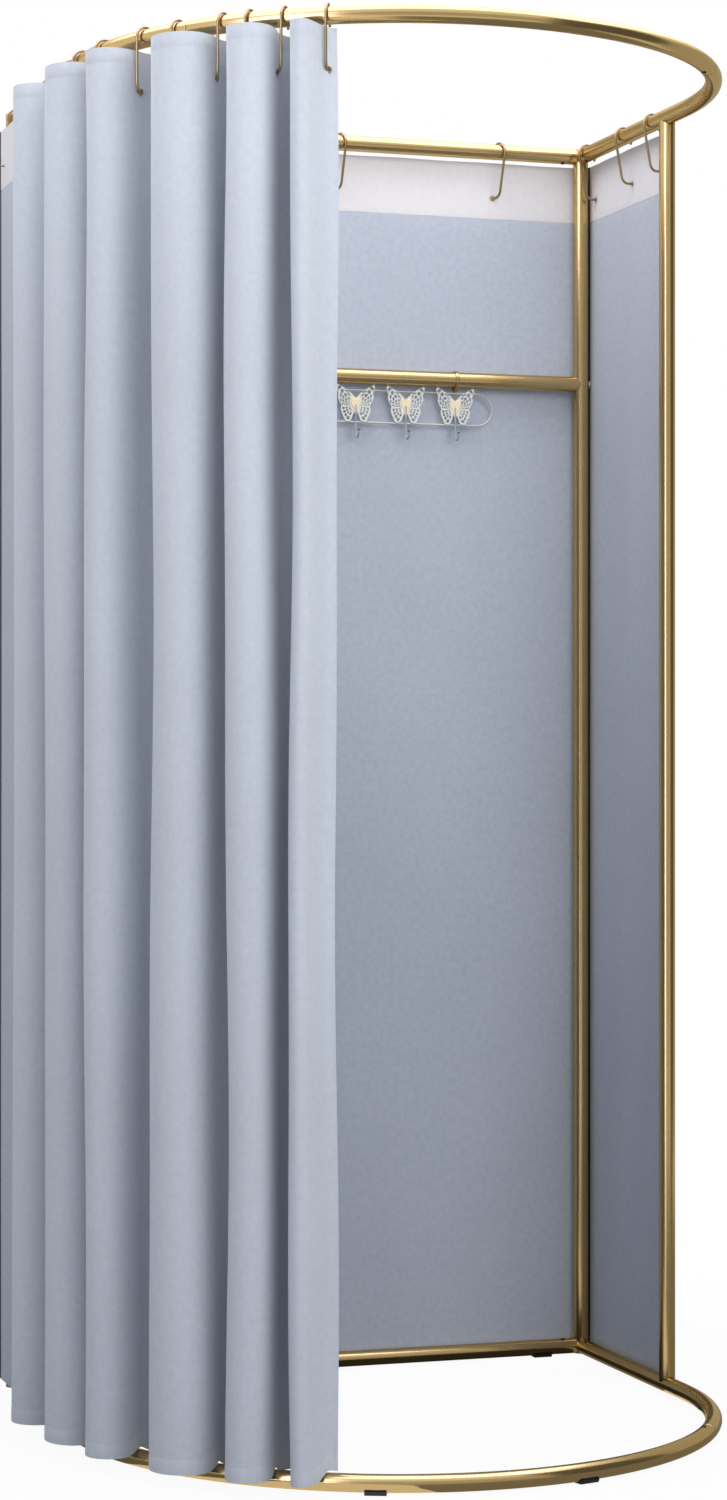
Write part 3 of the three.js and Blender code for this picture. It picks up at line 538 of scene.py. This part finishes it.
near_hem = [0, 0.0005, 0.006, 0.0185, hem_depth, 0.021]
near_top = np.array([0.11, 0.085, 0.06, 0.04, 0.024, 0.0212, head_depth, 0.0188, 0.008, 0.0006, 0])
heights = np.unique(np.concatenate([near_hem, np.linspace(0.03, 0.93, 46) * cloth_height,
                                    cloth_height - near_top]))
up = heights / heights[-1]
crest = np.clip(plan[:, 1] / outer_bulge, -1, 1)
low = curtain_hem + curtain_rise * ridge(plan[:, 1], 0.0165)
level = low + (curtain_top - low) * up[:, None]
fall = 1 - up[:, None]
held = 1 - np.exp(-fall / 0.08)
sway = held * (0.0022 * np.sin(2 * np.pi * (1.15 * fall + 1.9 * developed))
               + 0.0012 * np.sin(2 * np.pi * (2.6 * fall - 3.1 * developed) + 1.0))
swing_out = held * crest * (0.0022 * np.sin(2 * np.pi * (0.9 * fall + 2.3 * developed) + 0.7)
                            + 0.0012 * fall)
along_rail = plan[:, 0] + sway * np.clip((plan[:, 0] + 0.105) / 0.03, 0, 1)
out_of_rail = plan[:, 1] + swing_out
thick = curtain_thickness + hem_fold * (heights[:, None] < hem_depth)
thick = thick + head_fold * (heights[:, None] > cloth_height - head_depth)
thick = thick + lead_fold * (marks[-1] - developed < lead_hem)

curtain_lengths = [
    ("curtain_tail_length", 0, 2, ("frame",), (1,), (1, 2, 3)),
    ("curtain_length_2", 2, 3, ("frame", "curtain_2"), (), (3, 4)),
    ("curtain_length_3", 3, 5, ("curtain_2", "curtain_3"), (2,), (4, 5)),
    ("curtain_length_4", 5, 6, ("curtain_3",), (3,), (5, 6)),
    ("curtain_length_5", 6, 7, ("curtain_3", "curtain_4"), (), (6, 7)),
    ("curtain_length_6", 7, 8, ("curtain_4",), (4,), (7, 8)),
    ("curtain_length_7", 8, 9, ("curtain_4", "curtain_5"), (), (8, 9)),
    ("curtain_lead_length", 9, 11, ("curtain_5", "curtain_6"), (5, 6), (9, 10))]
for name, first, last, bodies, folds, hooks in curtain_lengths:
    start, end = cuts[first], cuts[last]
    span = slice(start, end + 1)
    place = rail_place(along_rail[:, span], out_of_rail[:, span], 0)[..., :2]
    length = cloth_shell(name, place, level[:, span], thick[:, span], curtain_linen)
    if len(bodies) == 1:
        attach(length, bodies[0])
    else:
        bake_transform(length)
    if folds:
        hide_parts(*(f"curtain_fold_{k}" for k in folds))

# Wire hooks: bent brass wire. An open ring sits over the rail, the shank hangs straight and a J passes
# through a small rolled eyelet pressed into the cloth.
hook_wire = metal("hook_wire_gold", (0.41, 0.315, 0.18), (0.31, 0.235, 0.125), 0.3, 1500, 0.08)
wire_radius, ring_radius, ring_drop = 0.002, 0.0165, 0.0012
j_radius, hook_bottom = 0.013, 0.074
plain_j = {"twist": 0.0, "tip": 0.0275, "bend": math.radians(110), "lean": 0.0}
panel_j = {"twist": 0.0, "tip": 0.017, "bend": math.radians(82), "lean": math.radians(12)}
flank_twist, flank_tip = math.radians(38), 0.0145


def hook_line(spot, shank, twist, tip, bend, lean):
    """Centreline of a hook: part of a circle from 225 degrees back over the rail to its inner side, a
    straight shank down, a bend in the twisted plane, and a straight tip that leaves the bend where it ends.
    The whole hook is turned about the rail by the lean."""
    turn = np.radians(np.linspace(225, 0, 46))
    ring = np.stack([ring_radius * np.cos(turn), 0 * turn, ring_radius * np.sin(turn) - ring_drop], axis=1)
    out = np.array([-math.cos(twist), math.sin(twist), 0])
    centre = np.array([ring_radius, 0, 0]) + out * j_radius + [0, 0, j_radius - hook_bottom]
    turn = np.linspace(0, bend, 24)[:, None]
    curve = centre - out * j_radius * np.cos(turn) - np.array([0, 0, j_radius]) * np.sin(turn)
    end = curve[-1] + (out * math.sin(bend) - [0, 0, math.cos(bend)]) * tip
    c, s = math.cos(lean), math.sin(lean)
    points = np.concatenate([ring, curve, [end]]) @ np.array([[c, 0, -s], [0, 1, 0], [s, 0, c]])
    c, s = np.array(shank[:2]) / np.linalg.norm(shank[:2])
    return points @ np.array([[c, s, 0], [-s, c, 0], [0, 0, 1]]) + spot


def crossing(line, foot, normal):
    """Where a line of points last passes through a plane, by the share of the distances on either side."""
    height = (line - foot) @ normal
    index = np.flatnonzero(np.diff(np.sign(height)))[-1]
    share = height[index] / (height[index] - height[index + 1])
    return line[index] + share * (line[index + 1] - line[index])


eyelet_bend = np.linspace(-np.pi / 2, np.pi / 2, 9)
eyelet_profile = np.concatenate([
    np.stack([0.0046 + 0.0012 * np.cos(eyelet_bend), 0.0011 * np.sin(eyelet_bend)], axis=1),
    np.stack([0.0030 - 0.0004 * np.cos(eyelet_bend), -0.0011 * np.sin(eyelet_bend)], axis=1)])


def add_hook(node, body, spot, shank, cloth_foot, cloth_normal, j):
    """One hook and its eyelet on one body. The eyelet sits square to the cloth, where the hook crosses it."""
    line = hook_line(np.array(spot), shank, **j)
    side = np.cross([0, 0, 1], [*shank[:2], 0])
    grid, uv = round_bar(line, wire_radius, wire_radius * 0.96, side, 14, 0.0016)
    wire = surface(node + "_wire", grid, hook_wire, uv)
    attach(wire, body)
    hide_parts(node)
    normal = np.array([*cloth_normal[:2], 0]) / np.linalg.norm(cloth_normal[:2])
    rim = turned(eyelet_profile, crossing(line, np.array(cloth_foot), normal), normal, 24)
    eyelet = surface(node + "_eyelet", rim, hook_wire, along_closed=True)
    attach(eyelet, body)


skew = math.radians(15)
for name, way in (("left", -1), ("right", 1)):
    for index, share in enumerate((0.698, 0.125)):
        add_hook(f"back_hook_{name}_{index + 1}", "frame",
                 (room_x + way * share * arc_radius, back_y, top_z), (math.sin(skew), -math.cos(skew)),
                 (room_x, back_y + wall_setback, 0), (0, 1), panel_j)
    for index, share in enumerate((0.92, 0.489, 0.26 if name == "left" else 0.166)):
        add_hook(f"side_hook_{name}_{index + 1}", "frame",
                 (room_x + way * arc_radius, front_y + share * (back_y - front_y), top_z),
                 (-way * math.cos(skew), -math.sin(skew)),
                 (room_x + way * (arc_radius + wall_setback), 0, 0), (way, 0), panel_j)

tail_hook_spot = -0.117
add_hook("curtain_hook_1", "frame", rail_place(tail_hook_spot, 0, top_z), (1, 0),
         rail_place(tail_hook_spot, tail_setout, 0), (1, 0), plain_j)


def outward_at(distance):
    """The plan direction square to the rail and out of the room, at a distance along the rail."""
    return (rail_place(distance, 1, 0) - rail_place(distance, 0, 0))[:2]


flank_hooks = [("frame", 1, 1), ("frame", 2, -1), ("curtain_2", 3, 1), ("curtain_3", 5, 1),
               ("curtain_3", 6, -1), ("curtain_4", 7, 1), ("curtain_4", 8, -1), ("curtain_5", 9, 1)]
flank_inset = 0.012
for index, (body, end, way) in enumerate(flank_hooks):
    spot = bulge_ends[end] + flank_inset
    outward = outward_at(spot)
    onward = np.array([-outward[1], outward[0]])
    slope = 1 if end % 2 else -1
    add_hook(f"curtain_hook_{index + 2}", body, rail_place(spot, 0, top_z), way * outward,
             rail_place(bulge_ends[end], 0, 0), onward + slope * swell * outward,
             {**plain_j, "twist": -way * flank_twist, "tip": flank_tip})
outward = outward_at(lead_hook_spot)
lead_setout = np.interp(lead_hook_spot, lead_fall[:, 0], lead_fall[:, 1])
add_hook("curtain_hook_10", "curtain_6", rail_place(lead_hook_spot, 0, top_z), outward,
         rail_place(lead_hook_spot, lead_setout, 0), outward, plain_j)

# Rack frame: pale gold wire bent to a long loop with round ends, and two flat brass straps bent over the
# crossbar with their feet welded on the top wire.
def on_rack(piece):
    """Carries a piece on the rack."""
    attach(piece, "rack")


pale_gold = metal("pale_gold_wire", (0.64, 0.625, 0.58), (0.54, 0.525, 0.48), 0.35, 1500, 0.08, 0.5)
rack_low, rack_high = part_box("rack_frame")
rack_wire = 0.0015
wire_y = back_y + 0.0024
wire_top, wire_bottom = crossbar_z - 0.022, crossbar_z - 0.074
loop_radius = (wire_top - wire_bottom) / 2
loop_half = (rack_high.x - rack_low.x) / 2 - rack_wire
turn = np.linspace(np.pi / 2, -np.pi / 2, 19)
right_end = np.stack([room_x + loop_half - loop_radius + loop_radius * np.cos(turn), wire_y + 0 * turn,
                      (wire_top + wire_bottom) / 2 + loop_radius * np.sin(turn)], axis=1)
left_end = [2 * room_x, wire_y, wire_top + wire_bottom] - right_end * [1, 0, 1]
loop_grid = carried(np.concatenate([right_end, left_end]), circle(rack_wire, 14), (0, 1, 0), closed=True)
rack_loop = surface("rack_loop", loop_grid, pale_gold, along_closed=True)
on_rack(rack_loop)
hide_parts("rack_frame")

strap_inner, strap_half, strap_thick = tube_radius + 0.0006, 0.0025, 0.0012
strap_spot, strap_wrap = 0.258, math.radians(52)
turn = np.linspace(-strap_wrap, np.pi + strap_wrap, 60)
band = (strap_inner + strap_thick / 2) * np.stack([np.cos(turn), np.sin(turn)], axis=1)
foot = np.array([[0.0024 + 0.0007, -0.0215]])
strap_line = np.concatenate([foot, band, foot - [0.0014, 0]])
strap_section = np.array([[-1, -0.8], [-0.8, -1], [0.8, -1], [1, -0.8], [1, 0.8], [0.8, 1], [-0.8, 1],
                          [-1, 0.8]]) * [strap_half, strap_thick / 2]
strap_y, strap_z = back_y + strap_line[:, 0], crossbar_z + strap_line[:, 1]
for name, x in (("left", room_x - strap_spot), ("right", room_x + strap_spot)):
    line = np.stack([x + 0 * strap_y, strap_y, strap_z], axis=1)
    on_rack(surface(f"rack_strap_{name}", carried(line, strap_section, (1, 0, 0)), brass))

# Butterflies: seven pressed and pierced plates of pale gold metal, each an openwork of veins round a small
# solid butterfly, spot-welded on the loop, with a round prong that ends in a bead.
plate_half, plate_height = 0.033, 0.06
plate_foot = crossbar_z - tube_radius - 0.0008 - plate_height
plate_y = wire_y - rack_wire - 0.0003
wing = np.array([[0, 0.64], [0.1, 0.69], [0.24, 0.77], [0.5, 0.87], [0.78, 0.96], [0.94, 1], [1, 0.95],
                 [0.96, 0.85], [0.9, 0.76], [0.93, 0.66], [0.85, 0.54], [0.74, 0.43], [0.78, 0.34],
                 [0.73, 0.23], [0.64, 0.12], [0.54, 0.01], [0.4, 0], [0.26, 0.03], [0.17, 0.14],
                 [0.08, 0.26], [0, 0.3]]) * [plate_half, plate_height]


def plate(name, outline, holes, thickness, softening, back, material):
    """Flat plate with holes from closed lines in its own plane, standing upright with its back at the given
    y, and its edges softened."""
    curve = bpy.data.curves.new(name, "CURVE")
    curve.dimensions = "2D"
    curve.fill_mode = "BOTH"
    curve.extrude = thickness / 2 - softening
    curve.bevel_depth = softening
    curve.bevel_resolution = 1
    curve.offset = -softening
    for line in [outline, *holes]:
        spline = curve.splines.new("POLY")
        spline.points.add(len(line) - 1)
        corners = np.column_stack([line, np.zeros(len(line)), np.ones(len(line))])
        spline.points.foreach_set("co", corners.ravel())
        spline.use_cyclic_u = True
    maker = add_object(name + "_curve", curve)
    mesh = bpy.data.meshes.new_from_object(maker.evaluated_get(bpy.context.evaluated_depsgraph_get()))
    bpy.data.objects.remove(maker)
    points = np.empty(len(mesh.vertices) * 3)
    mesh.vertices.foreach_get("co", points)
    points = points.reshape(-1, 3)
    upright = np.column_stack([points[:, 0], back - thickness / 2 - points[:, 2], points[:, 1]])
    mesh.vertices.foreach_set("co", upright.ravel())
    mesh.materials.clear()
    mesh.materials.append(material)
    mesh.shade_smooth()
    mesh.set_sharp_from_angle(angle=math.radians(35))
    mesh.update()
    return mesh


def both_sides(half):
    """The whole outline, from its right half and the half's mirror image."""
    return np.concatenate([half, (half * [-1, 1])[::-1][1:-1]])


wing_line = smooth_line(wing, 6)
root = np.array([0.0015, 0.41 * plate_height])
polar = wing_line - root
bearing = np.arctan2(polar[:, 1], polar[:, 0])
order = np.argsort(bearing)


def wing_reach(angle):
    """How far the wing's edge is from its root in a given direction, by straight shares of its points."""
    return np.interp(angle, bearing[order], np.linalg.norm(polar, axis=1)[order])


half_vein = 0.0006
cell = np.linspace(0, 2 * np.pi, 14, endpoint=False)
cell_x, cell_y = (np.sign(wave) * np.abs(wave) ** 0.7 for wave in (np.cos(cell), np.sin(cell)))
holes = []
for bearings, half_step, rings in (
        ((-59,), 8, ((0.4, 0.6), (0.67, 0.89))),
        ((-43, -27, -11), 8, ((0.3, 0.45), (0.51, 0.66), (0.72, 0.89))),
        ((9, 22, 35, 48), 6.5, ((0.29, 0.41), (0.46, 0.59), (0.64, 0.76), (0.81, 0.915))),
        ((61,), 6.5, ((0.38, 0.53), (0.59, 0.73), (0.79, 0.91)))):
    half = np.radians(half_step)
    for angle in np.radians(bearings):
        for low_share, high_share in rings:
            middle_share = (low_share + high_share) / 2
            swing = angle + cell_x * (half - half_vein / (wing_reach(angle) * middle_share))
            far = wing_reach(angle + cell_x * half * 0.5)
            far = far * (middle_share + cell_y * (high_share - low_share) / 2)
            hole = root + np.stack([far * np.cos(swing), far * np.sin(swing)], axis=1)
            holes += [hole, (hole * [-1, 1])[::-1]]

pale_filigree = metal("filigree_plate", (0.84, 0.85, 0.8), (0.66, 0.67, 0.62), 0.36, 1500, 0.15, 0.4)
cream_gold = metal("cream_gold_plate", (0.96, 0.84, 0.6), (0.88, 0.75, 0.5), 0.34, 1500, 0.1, 0.4)
heart = np.array([[0, 0.6], [0.05, 0.62], [0.12, 0.65], [0.26, 0.7], [0.3, 0.66], [0.25, 0.57],
                  [0.24, 0.48], [0.16, 0.41], [0.09, 0.35], [0.07, 0.25], [0.03, 0.18],
                  [0, 0.17]]) * [plate_half, plate_height]
wings_mesh = plate("butterfly_wings", both_sides(wing_line), holes, 0.0013, 0.00025, 0.0, pale_filigree)
heart_mesh = plate("butterfly_heart", both_sides(smooth_line(heart, 5)), [], 0.0014, 0.0005, -0.0009,
                   cream_gold)

# The prong's blue-grey tone is a painted reflection: the metal wire takes the colour of the linen walls
# around it.
prong_painted_wall_reflection = metal("prong_painted_wall_reflection", (0.4, 0.43, 0.49), (0.34, 0.37, 0.43), 0.5, 1500, 0.08, 0.25)
bead_copper = metal("prong_bead_copper", (0.42, 0.3, 0.24), (0.3, 0.21, 0.17), 0.35, 1500, 0.08)
prong_radius, prong_bend, prong_tip, prong_bead = 0.0015, 0.008, 0.004, 0.0026
prong_top, prong_foot = -0.045, -0.101
prong_low = prong_foot + prong_radius + prong_bend
turn = np.linspace(0, np.pi, 22)[:, None]
prong_curve = prong_bend * np.concatenate([0 * turn, np.cos(turn), -np.sin(turn)], axis=1)
prong_line = np.concatenate([
    [[0, -prong_radius, prong_top]],
    np.array([0, -prong_radius - prong_bend, prong_low]) + prong_curve,
    [[0, -prong_radius - 2 * prong_bend, prong_low + prong_tip]]])
bead_turn = np.linspace(0.12, np.pi - 0.12, 11)
bead_profile = np.stack([prong_bead * np.sin(bead_turn), -prong_bead * np.cos(bead_turn)], axis=1)
butterflies, butterfly_pitch = 7, 0.086
for index in range(butterflies):
    x = room_x + (index - (butterflies - 1) / 2) * butterfly_pitch
    name = f"butterfly_{index + 1}"
    for part, mesh in (("wings", wings_mesh), ("heart", heart_mesh)):
        copy = mesh.copy()
        spots = np.empty(len(copy.vertices) * 3)
        copy.vertices.foreach_get("co", spots)
        copy.vertices.foreach_set("co", (spots.reshape(-1, 3) + [x, plate_y, plate_foot]).ravel())
        piece = add_object(f"{name}_{part}", copy)
        on_rack(piece)
        if part == "wings":
            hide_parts(name)
    line = prong_line + [x, plate_y, crossbar_z]
    grid, uv = round_bar(line, prong_radius, prong_radius * 0.9, (1, 0, 0), 12, 0.0018)
    on_rack(surface(f"{name}_prong", grid, prong_painted_wall_reflection, uv))
    on_rack(surface(f"{name}_bead", turned(bead_profile, line[-1], (0, 0, 1), 16), bead_copper))

# Floor and backdrop: a plain white studio sweep, painted board underfoot and white paper behind. The camera
# sees both as white, but for the soft shadow under and about the room.
def white_to_the_eye(add, tree, lit_shader, share, output):
    """Mixes plain white light of strength 1 into a shader: the amount is the share for what the camera,
    glossy and transmission rays see, and 0 for the others."""
    path = add("ShaderNodeLightPath").outputs
    seen = path["Is Camera Ray"]
    for ray in ("Is Glossy Ray", "Is Transmission Ray"):
        seen = add("ShaderNodeMath", {0: seen, 1: path[ray]}, operation="MAXIMUM").outputs[0]
    amount = add("ShaderNodeMath", {0: seen, 1: share}, operation="MULTIPLY").outputs[0]
    white = add("ShaderNodeEmission", {"Color": (1, 1, 1, 1), "Strength": 1.0}).outputs[0]
    mix = add("ShaderNodeMixShader", {0: amount, 1: lit_shader, 2: white})
    tree.links.new(mix.outputs[0], output)


def flat_sheet(name, corners):
    """A mesh of one flat face through the given corners."""
    mesh = bpy.data.meshes.new(name)
    mesh.from_pydata(corners, [], [tuple(range(len(corners)))])
    return mesh


floor_reach = 6.0
floor_mesh = flat_sheet("floor", [(x * floor_reach, y * floor_reach, 0)
                                  for x, y in ((-1, -1), (1, -1), (1, 1), (-1, 1))])
add_object("floor", floor_mesh)
floor_paint, tree, add = material_tree("floor_white")
to_camera = add("ShaderNodeLightPath").outputs["Is Camera Ray"]
shading(tree, Base_Color=mixed_colour(add, to_camera, (0.19, 0.22, 0.28, 1), (0.9, 0.9, 0.9, 1)),
        Roughness=0.9, Specular_IOR_Level=0.1)
middle = add("ShaderNodeVectorMath", {0: add("ShaderNodeTexCoord").outputs["Object"]}, operation="LENGTH")
fade = add("ShaderNodeMapRange", {"Value": middle.outputs["Value"], "From Min": 0.5, "From Max": 1.6,
                                  "To Min": 0.94, "To Max": 1.0})
white_to_the_eye(add, tree, tree.nodes["Principled BSDF"].outputs[0], fade.outputs["Result"],
                 tree.nodes["Material Output"].inputs[0])
floor_mesh.materials.append(floor_paint)

world = bpy.data.worlds.new("studio")
bpy.context.scene.world = world
world.use_nodes = True
tree = world.node_tree
tree.nodes.clear()
add = node_adder(tree)
place = add("ShaderNodeTexCoord").outputs["Generated"]
upward = add("ShaderNodeSeparateXYZ", {0: place}).outputs["Z"]
dome_light = add("ShaderNodeMapRange", {"Value": upward, "From Min": -0.1, "From Max": 0.9,
                                        "To Min": 1.67, "To Max": 0.0}).outputs["Result"]
room_light = add("ShaderNodeBackground", {"Color": (0.97, 0.985, 1, 1), "Strength": dome_light})
white_to_the_eye(add, tree, room_light.outputs[0], 1.0, add("ShaderNodeOutputWorld").inputs[0])


# Lights: two large soft boxes in front, left and right, and two small ones over the room and the cabin. The
# polished metal sees none of them: it sees the bright and dark cards that stand round the room and lie on
# the floor, so that its bright and dark lines fall where the photo has them.
def softbox(name, place, aim, size, power):
    """A square area light at a place, turned to face a point: it is tipped by half a turn less the angle
    between straight up and the way to the point, and swung to that way's bearing."""
    lamp = bpy.data.lights.new(name, "AREA")
    lamp.size = size
    lamp.energy = power
    light = add_object(name, lamp)
    light.location = place
    way = np.array(aim, float) - np.array(place, float)
    tip = math.pi - math.acos(way[2] / np.linalg.norm(way))
    light.rotation_euler = (tip, 0, math.atan2(way[1], way[0]) - math.pi / 2)
    light.visible_glossy = False


def standing(bearings, foot, head, distance=3.6):
    """Corners of a card that stands upright between two bearings, in degrees round the room's middle."""
    (c0, s0), (c1, s1) = [(distance * math.cos(turn), distance * math.sin(turn))
                          for turn in map(math.radians, bearings)]
    return [(c0, s0, foot), (c1, s1, foot), (c1, s1, head), (c0, s0, head)]


def lying(height, outline):
    """Corners of a card that lies level at a height, from its outline in plan."""
    return [(x, y, height) for x, y in outline]


softbox("key_softbox", (-0.4, -3.3, 3.3), (-0.1, -0.1, 1.3), 1.8, 33)
softbox("right_softbox", (1.2, -3.2, 2.6), (0, 0, 1.2), 1.8, 39)
softbox("top_softbox", (-0.1, 0.0, 3.3), (0.1, 0.1, 0), 1.0, 11)
softbox("cabin_softbox", (-0.6, -0.2, 3.0), (0.3, 0.1, 0.6), 1.0, 16)
for name, corners, brightness in (
        ("bright_card_left", standing((203, 233), 0, 3.4), 3.6),
        ("bright_card_high", lying(3.8, [(-2.4, -1.9), (2.6, -1.9), (2.6, 2.2), (-2.4, 2.2)]), 3.0),
        ("grey_card_front", standing((233, 303), 0, 2.9, 5.2), 0.55),
        ("dark_card_right", standing((303, 352), 0, 3.6), 0.12),
        ("grey_card_right", standing((352, 418), 0, 3.3), 0.5),
        ("dark_card_back", standing((58, 125), 0, 1.5), 0.1),
        ("grey_card_back", standing((58, 125), 1.5, 3.3), 0.45),
        ("grey_card_floor", lying(0.001, [(0.6, 0.12), (0.42, -0.25), (-0.1, -0.46), (-0.865, -2.6),
                                          (2.6, -2.6), (2.6, 2.6), (-2.2, 2.6), (-2.2, -0.6)]), 0.25),
        ("dark_card_floor", lying(0.002, [(-0.46, 0.44), (0.49, 0.44), (0.49, -0.05), (0.42, -0.2),
                                          (0.3, 0.12), (-0.46, 0.2)]), 0.03),
        ("brown_card_floor", lying(0.0015, [(-0.7, 0.1), (-0.7, -0.7), (-0.31, -0.7), (-0.31, -0.36),
                                            (-0.42, -0.2), (-0.46, 0.1)]), 0.16)):
    mesh = flat_sheet(name, corners)
    paint, tree, add = material_tree(name)
    tint = (1, 1, 1.35, 1) if brightness > 1 else (1, 1, 1, 1)
    glow = add("ShaderNodeEmission", {"Color": tint, "Strength": brightness})
    tree.links.new(glow.outputs[0], tree.nodes["Material Output"].inputs[0])
    mesh.materials.append(paint)
    reflected = add_object(name, mesh)
    for ray in ("camera", "diffuse", "transmission", "volume_scatter", "shadow"):
        setattr(reflected, "visible_" + ray, False)

bpy.context.scene.view_settings.view_transform = "Standard"
